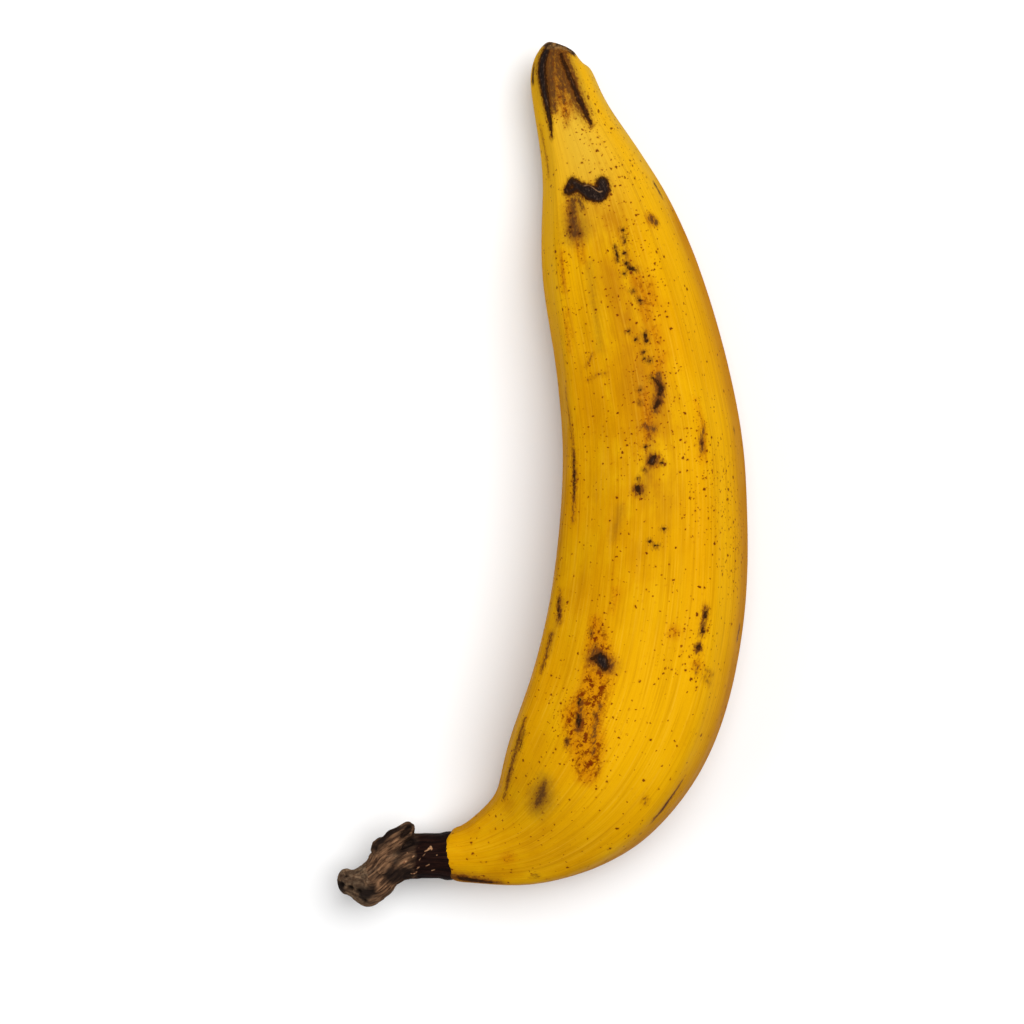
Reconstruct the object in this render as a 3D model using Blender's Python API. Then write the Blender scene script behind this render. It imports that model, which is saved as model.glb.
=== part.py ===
"""A ripe plantain on its side: the curved, five-ridged fruit, and its dried stalk with a scrap of crown.

Metres, +Z up. The bend lies flat, the long way runs along Y with the blossom tip at +Y, and the outer side of
the bend faces +X. The origin is under the middle of the whole thing, on the surface that it lies on.
"""

import math

import bmesh
import bpy
import numpy as np
from mathutils import Matrix, Vector

MM = 0.001

# Driving dimensions, in millimetres.
HEIGHT_SHARE = 0.93  # the height of the fruit's section over its width
END_HEIGHT = 14.0  # the height at which the thin ends are carried
PRESSED = 0.3  # how much of the underside is pressed flat where the fruit rests
JOINT = (-24.0, -103.7)  # where the stalk meets the fruit, seen from above
JOINT_GAP = 0.3
STALK_RADIUS = 6.1

# The fruit's centre line seen from above, from the stalk to the tip, with its half width there.
STATIONS = (
    (-26.6, -103.8, 5.8),
    (-22.4, -103.6, 7.2),
    (-18.0, -103.1, 9.0),
    (-11.2, -101.3, 11.8),
    (-5.0, -98.8, 14.6),
    (1.6, -94.0, 18.6),
    (8.9, -86.0, 22.9),
    (15.9, -75.6, 25.4),
    (22.4, -61.6, 26.6),
    (27.2, -42.3, 26.5),
    (29.9, -14.0, 25.4),
    (29.7, 8.0, 24.4),
    (26.4, 30.6, 22.8),
    (20.0, 58.6, 20.4),
    (16.6, 73.4, 17.2),
    (13.9, 83.2, 14.2),
    (10.2, 93.4, 11.3),
    (7.3, 101.8, 9.6),
    (5.8, 108.0, 8.9),
    (4.7, 112.0, 7.4),
    (4.0, 114.9, 5.6),
    (4.0, 116.9, 4.2),
    (3.9, 118.1, 2.6),
)

# The five ridges of the skin: their angles round the section at places along the fruit, from 0 at the stalk
# to 1 at the tip. The angle starts at the outer side of the bend and goes up over the top.
RIDGE_PLACES = (0.0, 0.2, 0.4, 0.6, 0.8, 1.0)
RIDGES = (
    (32, 44, 55, 60, 66, 66),
    (140, 152, 155, 147, 136, 120),
    (226, 232, 234, 231, 224, 210),
    (296, 300, 303, 303, 300, 290),
    (340, 346, 352, 355, 358, 352),
)
RIDGE_RISE = 0.05  # of the half width
RIDGE_SPREAD = 11.0  # degrees

SECTIONS = 64
SIDES = 40

# The stalk's own line from the joint, with its radius as a share of STALK_RADIUS.
STALK_STATIONS = (
    (0.0, 0.0, 1.0),
    (-4.0, 0.0, 0.98),
    (-8.5, -0.3, 1.02),
    (-13.0, -1.4, 1.1),
    (-17.5, -3.6, 1.15),
    (-21.5, -6.6, 0.9),
)
STALK_SECTIONS = 16
STALK_SIDES = 24

# The torn crown: lumps that grow from the stalk's far end. Middle from the joint, half sizes, turn.
CROWN_LUMPS = (
    ((-17.6, -1.8, 0.4), (5.8, 4.8, 6.6), -20),
    ((-21.6, -9.0, -0.6), (6.0, 5.1, 6.2), 30),
    ((-25.6, -7.8, 0.4), (3.9, 3.8, 4.6), 5),
    ((-28.5, -7.4, 0.8), (3.3, 3.1, 3.6), 0),
    ((-14.4, 4.8, 1.2), (5.2, 2.5, 5.2), 38),
    ((-11.8, 7.2, 1.4), (2.3, 1.9, 3.6), 30),
)
CROWN_VOXEL = 1.2


def through(knots, values, places):
    """A smooth curve through the values at their knots, read at each of the places."""
    values = np.array(values, float)
    slopes = np.gradient(values, knots, axis=0)
    i = np.clip(np.searchsorted(knots, places, side="right") - 1, 0, len(knots) - 2)
    span = (knots[i + 1] - knots[i])[:, None]
    t = (places - knots[i])[:, None] / span
    rise = values[i + 1] - values[i]
    bend = t * (1 - t) ** 2 * slopes[i] - t * t * (1 - t) * slopes[i + 1]
    return values[i] + t * t * (3 - 2 * t) * rise + span * bend


def evenly(stations, count):
    """Evenly spaced rows (x, y, half width) along the stations, and how far along each is, from 0 to 1."""
    rows = np.array(stations, float)
    steps = np.linalg.norm(np.diff(rows[:, :2], axis=0), axis=1)
    knots = np.concatenate([[0.0], np.cumsum(steps)])
    places = np.linspace(0, 1, count)
    return through(knots, rows, places * knots[-1]), places


def to_the_right(rows):
    """The level unit vectors square to the line through the rows, on its right hand."""
    runs = np.gradient(rows[:, :2], axis=0)
    runs /= np.linalg.norm(runs, axis=1)[:, None]
    return np.stack([runs[:, 1], -runs[:, 0]], axis=1)


def ridge_angles(places):
    """The five ridges' angles in degrees, one row for each of the places along the fruit."""
    return through(np.array(RIDGE_PLACES), np.array(RIDGES).T, places)


def ridged(angles, ridges):
    """How far out the skin stands at these angles, over the plain half width."""
    apart = (angles[:, None] - ridges[None, :] + 180) % 360 - 180
    return 1 - 0.4 * RIDGE_RISE + RIDGE_RISE * np.exp(-0.5 * (apart / RIDGE_SPREAD) ** 2).sum(axis=1)


def tube(rings):
    """A closed mesh through rings of points: each ring bridged to the next, and a face over each end."""
    bm = bmesh.new()
    loops = []
    for ring in rings:
        verts = bmesh.ops.create_circle(bm, segments=len(ring), radius=MM)["verts"]
        for vert, point in zip(verts, ring):
            vert.co = point
        loops.append({edge for vert in verts for edge in vert.link_edges})
    for near, far in zip(loops, loops[1:]):
        bmesh.ops.bridge_loops(bm, edges=list(near | far))
    bmesh.ops.contextual_create(bm, geom=list(loops[0]))
    bmesh.ops.contextual_create(bm, geom=list(loops[-1]))
    bmesh.ops.recalc_face_normals(bm, faces=bm.faces)
    return bm


def cut_flat(bm, point, normal):
    """Takes off what lies beyond a plane, and closes the cut with a flat face."""
    geometry = bm.verts[:] + bm.edges[:] + bm.faces[:]
    settings = {"plane_co": point, "plane_no": normal, "clear_outer": True, "dist": 1e-7}
    cut = bmesh.ops.bisect_plane(bm, geom=geometry, **settings)
    edges = [part for part in cut["geom_cut"] if isinstance(part, bmesh.types.BMEdge)]
    bmesh.ops.edgenet_fill(bm, edges=edges)
    bmesh.ops.recalc_face_normals(bm, faces=bm.faces)


def material(name, colour, roughness):
    made = bpy.data.materials.new(name)
    made.use_nodes = True
    shader = made.node_tree.nodes["Principled BSDF"]
    shader.inputs["Base Color"].default_value = (*colour, 1)
    shader.inputs["Roughness"].default_value = roughness
    shader.inputs["Metallic"].default_value = 0
    return made


def add_object(name, bm, location, finish, parent):
    mesh = bpy.data.meshes.new(name)
    bm.to_mesh(mesh)
    bm.free()
    mesh.materials.append(finish)
    mesh.shade_smooth()
    mesh.set_sharp_from_angle(angle=math.radians(40))
    made = bpy.data.objects.new(name, mesh)
    made.location = location
    made.parent = parent
    bpy.context.scene.collection.objects.link(made)
    return made


def carried_height(low):
    """The height of a section's middle: how far it reaches down, but no lower than the ends are carried."""
    return (low**8 + END_HEIGHT**8) ** (1 / 8) - PRESSED


def build_fruit(parent):
    """The fruit: its ridged section carried round the bend, cut square at the stalk and pressed flat."""
    rows, places = evenly(STATIONS, SECTIONS)
    angles = np.arange(SIDES) * 360 / SIDES
    rings = []
    for (x, y, half), side, ridges in zip(rows, to_the_right(rows), ridge_angles(places)):
        out = half * ridged(angles, ridges)
        across = out * np.cos(np.radians(angles))
        up = out * np.sin(np.radians(angles)) * HEIGHT_SHARE
        middle = carried_height(-up.min())
        ring = [(x + side[0] * a, y + side[1] * a, middle + u) for a, u in zip(across, up)]
        rings.append([Vector(point) * MM for point in ring])
    bm = tube(rings)
    cut_flat(bm, Vector((JOINT[0], JOINT[1], 0)) * MM, Vector((-1, 0, 0)))
    cut_flat(bm, Vector((0, 0, 0)), Vector((0, 0, -1)))
    skin = material("plantain_skin", (0.66, 0.35, 0.015), 0.45)
    return add_object("fruit", bm, (0, 0, 0), skin, parent)


def build_stalk(parent):
    """The dried stalk: it leaves the fruit's flat end and swells into the torn scrap of the crown."""
    rows, _ = evenly(STALK_STATIONS, STALK_SECTIONS)
    angles = np.radians(np.arange(STALK_SIDES) * 360 / STALK_SIDES)
    rings = []
    for (x, y, share), side in zip(rows, to_the_right(rows)):
        across = share * STALK_RADIUS * np.cos(angles)
        up = share * STALK_RADIUS * np.sin(angles)
        ring = [(x + side[0] * a, y + side[1] * a, u) for a, u in zip(across, up)]
        rings.append([Vector(point) * MM for point in ring])
    bm = tube(rings)
    for middle, half_sizes, turn in CROWN_LUMPS:
        turned = Matrix.Rotation(math.radians(turn), 3, "Z")
        place = Matrix.LocRotScale(Vector(middle) * MM, turned, Vector(half_sizes) * MM)
        bmesh.ops.create_icosphere(bm, subdivisions=3, radius=1, matrix=place)
    wood = material("dried_stalk", (0.09, 0.05, 0.035), 0.8)
    location = Vector((JOINT[0] - JOINT_GAP, JOINT[1], carried_height(STALK_RADIUS))) * MM
    stalk = add_object("stalk", bm, location, wood, parent)
    grown_together = stalk.modifiers.new("grown_together", "REMESH")
    grown_together.mode = "VOXEL"
    grown_together.voxel_size = CROWN_VOXEL * MM
    return stalk


def main():
    for old in list(bpy.data.objects):
        bpy.data.objects.remove(old)
    plantain = bpy.data.objects.new("plantain", None)
    bpy.context.scene.collection.objects.link(plantain)
    build_fruit(plantain)
    build_stalk(plantain)


main()
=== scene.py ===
import math

import bpy
import numpy as np
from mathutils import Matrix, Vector
from mathutils import noise as perlin


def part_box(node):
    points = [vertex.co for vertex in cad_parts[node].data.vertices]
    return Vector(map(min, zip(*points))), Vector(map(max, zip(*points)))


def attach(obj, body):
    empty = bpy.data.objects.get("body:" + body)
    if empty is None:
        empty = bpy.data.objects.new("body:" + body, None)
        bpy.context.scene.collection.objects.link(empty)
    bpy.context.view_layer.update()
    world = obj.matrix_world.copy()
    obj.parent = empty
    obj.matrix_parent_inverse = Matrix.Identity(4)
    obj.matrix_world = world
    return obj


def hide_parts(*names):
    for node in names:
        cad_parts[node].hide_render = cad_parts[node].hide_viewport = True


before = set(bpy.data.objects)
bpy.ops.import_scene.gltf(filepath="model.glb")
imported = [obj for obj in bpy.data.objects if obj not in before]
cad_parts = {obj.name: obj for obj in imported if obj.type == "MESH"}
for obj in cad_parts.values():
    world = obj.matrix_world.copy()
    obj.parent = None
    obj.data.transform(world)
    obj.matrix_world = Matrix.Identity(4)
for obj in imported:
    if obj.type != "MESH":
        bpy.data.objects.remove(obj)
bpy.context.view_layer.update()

MM = 0.001


# ---- The fruit ----------------------------------------------------------------------------
# One berry that grew in a bend as it turned up to the light, in a thick waxy peel with five soft ridges. It
# is closed round the stalk by a rounded lip, and at the other end it carries the dry, cupped scar that the
# flower left.

# The line that it grew along, seen from above, with its half width there, in millimetres.
GROWTH = (
    (-26.6, -103.8, 5.8),
    (-22.4, -103.6, 7.2),
    (-18.0, -103.1, 9.0),
    (-11.2, -101.3, 11.8),
    (-5.0, -98.8, 14.6),
    (1.6, -94.0, 18.6),
    (8.9, -86.0, 22.9),
    (15.9, -75.6, 25.4),
    (22.4, -61.6, 26.6),
    (27.2, -42.3, 26.5),
    (29.9, -14.0, 25.4),
    (29.7, 8.0, 24.4),
    (26.4, 30.6, 22.8),
    (20.0, 58.6, 20.4),
    (16.6, 73.4, 17.2),
    (13.9, 83.2, 14.2),
    (10.2, 93.4, 11.3),
    (7.3, 101.8, 9.6),
    (5.8, 108.0, 8.9),
    (5.0, 112.4, 7.4),
    (5.2, 115.4, 5.6),
    (5.6, 117.6, 4.2),
)
LINE_POINTS = 1500
HEIGHT_SHARE = 0.93  # the height of its section over its width
LOW_SHARE = 0.985  # how much of its half height reaches down, between two ridges
END_HEIGHT = 14.0  # the height at which the thin ends are carried
HEIGHT_POWER = 8  # how sharply the line goes over from resting to being carried
PRESSED = 0.3  # how much of the underside is pressed flat
STALK_END_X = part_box("fruit")[0].x / MM

# The ridges' angles round the section, at places from the stalk, 0, to the tip, 1. The angle starts at the
# outer side of the bend and goes up over the top.
RIDGE_PLACES = (0.0, 0.2, 0.4, 0.6, 0.8, 1.0)
RIDGES = (
    (32, 44, 55, 60, 66, 66),
    (140, 152, 155, 147, 136, 120),
    (226, 232, 234, 231, 224, 210),
    (296, 300, 303, 303, 300, 290),
    (340, 346, 352, 355, 358, 352),
)
RIDGE_RISE = 0.065  # of the half width
RIDGE_SPREAD = 8.5  # degrees


def through(knots, values, places):
    """A smooth curve through the values at their knots, read at each of the places."""
    values = np.array(values, float)
    slopes = np.gradient(values, knots, axis=0)
    i = np.clip(np.searchsorted(knots, places, side="right") - 1, 0, len(knots) - 2)
    span = (knots[i + 1] - knots[i])[:, None]
    t = (places - knots[i])[:, None] / span
    rise = values[i + 1] - values[i]
    bend = t * (1 - t) ** 2 * slopes[i] - t * t * (1 - t) * slopes[i + 1]
    return values[i] + t * t * (3 - 2 * t) * rise + span * bend


def distances(path):
    """How far along the path each of its points is, seen from above."""
    return np.concatenate([[0], np.cumsum(np.hypot(*np.diff(path[:, :2], axis=0).T))])


def headings(path):
    """The way that the path runs at each of its points, seen from above, in radians."""
    return np.unwrap(np.arctan2(*np.gradient(path[:, :2], axis=0).T[::-1]))


def wrapped(degrees):
    """Angles brought to between -180 and 180."""
    return (degrees + 180) % 360 - 180


# The growth line as a fine row of points: its middle and half width, its heading, its distance from the
# stalk, the ridges there, and the height of its middle.
growth = np.array(GROWTH)
growth_knots = distances(growth)
line_places = np.linspace(0, 1, LINE_POINTS)
line = through(growth_knots, growth, line_places * growth_knots[-1])
line_heading = headings(line)
line_along = distances(line)
line_along -= line_along[np.argmin(np.abs(line[: LINE_POINTS // 5, 0] - STALK_END_X))]
line_ridges = through(np.array(RIDGE_PLACES), np.array(RIDGES).T, line_places)
line_low = line[:, 2] * HEIGHT_SHARE * LOW_SHARE
line_height = (line_low**HEIGHT_POWER + END_HEIGHT**HEIGHT_POWER) ** (1 / HEIGHT_POWER) - PRESSED
TIP_ALONG = line_along[-1]

# The rings that the peel is drawn through: distance along in millimetres, and size over the plain
# section's. The first ones fold back into the lip. The last ones also turn, a few degrees more each, because
# the flower scar looks outwards of the bend.
LIP_RINGS = ((3.0, 0.62), (1.0, 0.7), (0.1, 0.85), (0.0, 0.98), (0.7, 1.07), (2.2, 1.06))
BODY_RINGS = 34
BODY_START = 4
BODY_END = 9.5  # before the tip
TIP_RINGS = (
    (-6.6, 1.0),
    (-4.4, 1.0),
    (-2.7, 1.0),
    (-1.3, 0.98),
    (-0.2, 0.9),
    (0.3, 0.72),
    (-0.3, 0.5),
    (-1.2, 0.3),
)
SCAR_TURN = -14  # degrees, at the last ring
RING_POINTS = 32
SUBDIVISIONS = 3

rings = [(ring_along, size, 0) for ring_along, size in LIP_RINGS]
rings += [(ring_along, 1, 0) for ring_along in np.linspace(BODY_START, TIP_ALONG - BODY_END, BODY_RINGS)]
for i, (ring_along, size) in enumerate(TIP_RINGS):
    rings.append((TIP_ALONG + ring_along, size, SCAR_TURN * (i + 1) / len(TIP_RINGS)))


def ring_at(along, size, turn):
    """A ring's middle in metres, its radius in metres, and its heading in radians."""
    x, y, half = (np.interp(along, line_along, line[:, k]) for k in range(3))
    height = np.interp(along, line_along, line_height)
    heading = np.interp(along, line_along, line_heading) + math.radians(turn)
    return Vector((x, y, height)) * MM, half * size * MM, heading


def apply_modifier(piece, kind, **settings):
    """Adds a modifier to the active piece, with these settings, and applies it."""
    bpy.ops.object.modifier_add(type=kind)
    modifier = piece.modifiers[-1]
    for name, value in settings.items():
        setattr(modifier, name, value)
    bpy.ops.object.modifier_apply(modifier=modifier.name)


# Subdivision draws a ring of points in to this share of its radius, so the rings are made larger.
SUBDIVISION_SHRINK = (2 + math.cos(2 * math.pi / RING_POINTS)) / 3

bpy.ops.object.select_all(action="DESELECT")
middle, radius, heading = ring_at(*rings[0])
bpy.ops.mesh.primitive_circle_add(
    vertices=RING_POINTS,
    radius=radius / SUBDIVISION_SHRINK,
    fill_type="NGON",
    location=middle,
    rotation=(math.pi / 2, 0, heading + math.pi / 2),
)
fruit = bpy.context.object
fruit.name = "plantain_fruit"
bpy.ops.object.transform_apply(location=True, rotation=True, scale=True)
bpy.ops.object.mode_set(mode="EDIT")
bpy.ops.mesh.select_all(action="SELECT")
bpy.ops.transform.resize(value=(1, 1, HEIGHT_SHARE), center_override=middle)
for ring in rings[1:]:
    next_middle, next_radius, next_heading = ring_at(*ring)
    turn = next_heading - heading
    bpy.ops.mesh.extrude_region_move(TRANSFORM_OT_translate={"value": next_middle - middle})
    bpy.ops.transform.resize(value=(next_radius / radius,) * 3, center_override=next_middle)
    bpy.ops.transform.rotate(value=-turn, orient_axis="Z", center_override=next_middle)
    middle, radius, heading = next_middle, next_radius, next_heading
bpy.ops.mesh.select_all(action="SELECT")
bpy.ops.mesh.normals_make_consistent(inside=False)
bpy.ops.object.mode_set(mode="OBJECT")
apply_modifier(fruit, "SUBSURF", levels=SUBDIVISIONS, render_levels=SUBDIVISIONS)
bpy.ops.object.shade_smooth()

MEASURED_AT_ONCE = 5000


def points_of(piece):
    """The piece's points, in millimetres."""
    points = np.zeros(len(piece.data.vertices) * 3)
    piece.data.vertices.foreach_get("co", points)
    return points.reshape(-1, 3) / MM


def move_points(piece, points):
    """Moves the piece's points to these places, in millimetres."""
    piece.data.vertices.foreach_set("co", (points * MM).ravel())
    piece.data.update()


def beside(points, path, path_heading):
    """The index of each point's nearest place on the path, and how far past it and right of it it lies."""
    index = np.empty(len(points), int)
    for start in range(0, len(points), MEASURED_AT_ONCE):
        end = start + MEASURED_AT_ONCE
        apart = points[start:end, None, :2] - path[None, :, :2]
        index[start:end] = (apart**2).sum(axis=2).argmin(axis=1)
    x, y = (points[:, :2] - path[index, :2]).T
    cosine, sine = np.cos(path_heading[index]), np.sin(path_heading[index])
    return index, x * cosine + y * sine, x * sine - y * cosine


# Where each point of the peel lies on the fruit: how far along it, how far right of its middle line and
# above it, and at what angle round it.
peel = points_of(fruit)
nearest, past, across = beside(peel, line, line_heading)
heading = line_heading[nearest]
up = peel[:, 2] - line_height[nearest]
along = line_along[nearest] + past
around = np.degrees(np.arctan2(up / HEIGHT_SHARE, across))
mm_per_degree = np.hypot(across, up) * math.pi / 180

# The lip reaches further over the stalk above and below than at its sides.
LIP_REACH = 2.7
LIP_FADE = 2.5  # how far along the fruit that is felt
peel[:, 0] -= LIP_REACH * np.sin(np.radians(around)) ** 2 * np.exp(-np.maximum(along, 0) / LIP_FADE)

# The ridges stand out of the round section, and the flanks between them lie back.
from_ridge = wrapped(around[:, None] - line_ridges[nearest])
ridge_bumps = np.exp(-0.5 * (from_ridge / RIDGE_SPREAD) ** 2).sum(axis=1)
stretch = 1 - 0.4 * RIDGE_RISE + RIDGE_RISE * ridge_bumps
outwards = np.stack([np.sin(heading) * across, -np.cos(heading) * across, up], axis=1)
peel += outwards * (stretch - 1)[:, None]

# Slow unevenness, and the fruit's weight pressing its underside flat on the surface.
UNEVEN = 0.22
UNEVEN_SCALE = 0.045
outwards /= np.maximum(np.linalg.norm(outwards, axis=1), 0.1)[:, None]
swell = np.array([perlin.noise(Vector(point) * UNEVEN_SCALE) for point in peel])
peel += outwards * (swell * UNEVEN)[:, None]
peel[:, 2] = np.maximum(peel[:, 2], 0)

# The marks of its growth, its journey and its ripening, and a painted shade on the lip by the flower scar.
# Each is a path of points on the peel: how far from the stalk in millimetres, the angle round the fruit,
# and the mark's half width there.

# The inner of the two upper ridges by the tip, dried black, and the old wound like a bow tie.
DRIED_RIDGE = (
    (250, 131, 1.0),
    (246, 130, 1.6),
    (241, 128, 1.5),
    (235, 126.5, 1.1),
    (230, 127.5, 0.7),
    (225.5, 130, 0.3),
)
WOUND = (
    ((209.2, 123, 0.8), (211.8, 115, 1.1), (209, 107.5, 1.5), (206.6, 98, 2.2), (206, 92.5, 2.5)),
    ((208.8, 120, 1.0), (209.4, 110, 1.0)),
    ((209, 86, 1.6), (206.8, 86.5, 1.8)),
)
BLACK_MARKS_AND_SHADE = (
    DRIED_RIDGE,
    *WOUND,
    # the outer of those ridges, and a nick on the inner side
    ((247, 84, 0.5), (243, 79, 0.7), (237, 74, 0.8), (231, 71.5, 0.8), (225, 71.5, 0.4)),
    ((244, 158, 0.5), (241, 158, 0.5)),
    # painted shade on the lip beside the flower scar
    ((250.4, 66, 1.0), (249.0, 50, 1.5), (247.8, 40, 0.7)),
    # dark specks in the stain under the wound
    ((203, 122, 0.4),),
    ((199, 123.5, 0.5),),
    ((197.6, 125, 0.4),),
    ((196.5, 116, 0.5),),
    # dark cores in the rust low on the front
    ((64.6, 118.6, 0.5), (63, 118, 0.4)),
    ((60.4, 116, 0.5), (58.4, 114, 0.9), (57, 113, 0.4)),
    ((62.4, 107, 0.4), (61.6, 105, 0.3)),
    ((52, 116, 0.5), (51, 114.5, 0.3)),
    # the row of pin pricks down the front
    ((195, 81, 0.5), (194.4, 80, 0.3)),
    ((192.6, 81, 0.5),),
    ((191.4, 82, 0.45),),
    ((191, 89.5, 0.3), (187, 90, 0.4)),
    ((188.5, 84, 0.55),),
    ((186, 84, 0.6),),
    ((184.6, 84, 0.7), (183.4, 79, 0.6)),
    ((183, 88, 0.5),),
    ((178, 85, 0.55),),
    ((175.6, 83, 0.5), (174.6, 81, 0.4)),
    ((168, 95, 0.45),),
    ((165.3, 91, 0.5),),
    ((166.6, 84, 0.5), (164.4, 84, 0.6)),
    ((161.6, 87.5, 0.5),),
    ((159.6, 88, 0.45), (159.2, 84.5, 0.5)),
    ((152, 94.5, 0.5),),
    ((148.7, 96, 0.5),),
    # the blotches below it
    ((155, 86, 0.35), (152.8, 81.5, 0.7)),
    ((151.4, 80.5, 0.9), (149.6, 83, 0.5)),
    ((148, 84, 0.8), (146.6, 87, 0.5)),
    ((136.6, 95.5, 0.5),),
    ((134, 90.5, 0.7), (132.6, 92.5, 1.1)),
    ((132.3, 86, 0.6),),
    ((130.5, 97, 0.45),),
    ((128.2, 101, 0.45),),
    ((125.6, 101.5, 1.0), (124.4, 100, 0.6)),
    ((115, 85, 0.55),),
    ((111.6, 93, 0.5),),
    ((110.4, 89.5, 0.55), (110.4, 88, 0.35)),
    # thin dry lines on the inner upper ridge
    ((138, 147, 0.2), (130, 146, 0.45), (122, 146, 0.2)),
    ((93.5, 151, 0.2), (90, 149.5, 0.5), (87, 147.5, 0.35)),
    ((81, 151, 0.25), (79, 151, 0.3)),
    ((74.6, 150, 0.3),),
    ((71.6, 151, 0.3), (69.6, 151, 0.15)),
    ((50, 151, 0.1), (42, 149, 0.3), (36, 148, 0.0), (30, 146, 0.3), (22, 141, 0.0)),
    ((47, 147, 0.2), (40, 145, 0.2)),
    # the outer upper ridge, low down
    ((95.5, 57, 0.4), (93.6, 57, 0.7)),
    ((91, 57.5, 0.4), (90, 57, 0.5)),
    ((86.4, 58, 0.7), (85.4, 58.5, 0.3)),
    ((54.5, 31, 0.25), (51, 32, 0.5), (48, 29, 0.3)),
    ((49.5, 33, 0.3), (45.5, 31, 0.35)),
    ((137, 60.3, 0.4), (136, 60.8, 0.2)),
    # the bruise low on the front
    ((79.6, 114.5, 0.8), (78, 112.5, 1.8), (76.4, 109.5, 1.3)),
    ((78.4, 116, 0.9), (77.4, 119.5, 0.4)),
    ((85, 123, 0.4), (84, 122, 0.3)),
    ((81.6, 118, 0.4),),
    # where the stalk pulled on the neck
    ((2, 42, 0.7), (5, 38, 0.8), (9, 36, 0.4)),
    ((19, 46, 0.3),),
    # the far side, where it lay in its box
    ((232, 213, 0.2), (222, 215, 0.5), (213, 218, 0.3)),
    ((207, 220, 0.3), (203, 221, 0.4)),
    ((171, 229, 0.2), (162, 231, 0.7), (155, 230, 0.3)),
    ((118, 234, 0.3), (108, 233, 0.4)),
    ((103, 235, 0.5), (97, 234, 0.8), (94, 236, 0.3)),
    ((61, 232, 0.4), (55, 231, 0.5)),
    ((234, 353, 0.3), (229, 354, 0.7), (224, 356, 0.4)),
    ((219, 357, 0.35),),
    ((186, 357, 0.2), (176, 355, 0.45), (171, 356, 0.2)),
    ((166, 354, 0.4),),
    ((128, 353, 0.3), (121, 352, 0.5)),
    ((83, 350, 0.2), (77, 349, 0.6), (73, 350, 0.9), (69, 348, 0.4)),
    ((64, 347, 0.35), (61, 348, 0.3)),
    ((205, 300, 0.2), (193, 301, 0.6), (188, 300, 0.3)),
    ((94, 303, 0.3), (86, 302, 0.5)),
    ((142, 200, 1.0), (139, 204, 0.7)),
    ((188, 195, 0.5),),
    ((57, 195, 0.6), (54, 198, 0.9)),
    ((150, 325, 0.7), (147, 330, 0.5), (146, 336, 0.3)),
    ((112, 272, 0.7),),
    ((70, 262, 0.9), (67, 258, 0.5)),
    ((196, 250, 0.6),),
    ((206, 20, 0.5), (202, 19, 0.3)),
    ((139, 17, 0.45),),
    ((92, 8, 0.5), (89, 10, 0.4)),
)
# Brown ones: round the black marks, and scuffs and stains by themselves.
BROWN_MARKS = (
    ((249, 120, 2.0), (243, 118, 2.4), (237, 117, 1.8), (232, 116, 0.9)),
    ((246, 94, 0.8), (239, 93, 1.1), (233, 96, 0.6)),
    ((247, 84, 2.0), (241, 80, 2.3), (235, 76, 1.7), (229, 73, 1.3), (225, 72, 0.7)),
    ((231, 98, 0.4), (227, 105, 0.4)),
    ((229, 154, 0.4), (223, 152, 0.4), (216, 150, 0.4)),
    ((210, 119, 1.8), (208, 108, 1.8), (206.6, 94, 3.0)),
    ((207, 118, 0.9), (204, 119, 0.8), (200.5, 121, 1.2), (197.5, 120.5, 1.7), (196.6, 117.5, 1.1)),
    ((206, 112, 0.9), (203, 110, 0.6)),
    ((196.4, 52, 1.5), (195.6, 49, 1.5)),
    ((161, 130, 0.25), (164, 124, 0.25)),
    ((157, 130, 0.25), (158, 123, 0.2), (158, 116, 0.25)),
    ((155, 81, 1.1), (150, 82, 1.5), (146, 87, 1.0)),
    ((142.2, 95, 1.0), (141, 89, 0.9)),
    ((133, 91, 1.8),),
    ((125, 101, 1.6),),
    ((156, 153, 0.3), (141, 147, 0.4), (130, 146, 0.6), (116, 146, 0.4)),
    ((141, 57, 0.4), (137, 60, 1.0), (134.4, 61, 0.6)),
    ((96, 151, 0.5), (86, 147, 0.9)),
    ((82, 151, 0.8), (68, 151, 0.6)),
    ((96, 57, 0.8), (90, 57.5, 0.9)),
    ((87.4, 58, 0.6), (85.6, 58, 1.2)),
    ((37.6, 115, 0.5), (34.4, 112.5, 1.5), (31, 109.5, 1.0)),
    ((56, 31, 0.6), (50, 31.5, 1.4), (45, 30, 0.7)),
    ((82, 57, 0.5), (80, 56, 0.5)),
    ((81, 50, 0.4), (80, 42, 0.4)),
    ((79, 51, 0.4), (78, 44, 0.4)),
    ((79, 116, 2.1), (77, 109, 2.2)),
    ((65, 118, 0.6), (61, 115, 0.9), (56, 113, 0.9)),
    ((52, 116, 0.8), (50, 114, 0.7)),
    ((66, 106, 0.5), (58, 103, 0.8), (52, 97, 0.5)),
    ((51, 150, 0.4), (32, 146, 0.7), (22, 140, 0.3)),
    ((49, 54, 0.5), (48, 51, 0.3)),
    ((0, 43, 1.3), (5, 38, 1.5), (11, 36, 0.6)),
    ((230, 214, 0.8), (215, 217, 1.4), (200, 221, 0.6)),
    ((178, 229, 0.6), (160, 231, 1.2), (147, 231, 0.5)),
    ((122, 233, 0.6), (104, 234, 1.4), (90, 234, 0.5)),
    ((238, 352, 0.6), (226, 355, 1.4), (215, 357, 0.5)),
    ((188, 357, 0.5), (172, 356, 1.2), (160, 355, 0.5)),
    ((86, 350, 0.5), (71, 349, 1.5), (58, 348, 0.6)),
    ((142, 200, 1.6), (139, 204, 1.2)),
    ((160, 275, 2.0), (154, 280, 1.4)),
    ((112, 272, 1.3),),
    ((126, 205, 1.2),),
    ((92, 325, 1.8), (88, 329, 1.3)),
)
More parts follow.
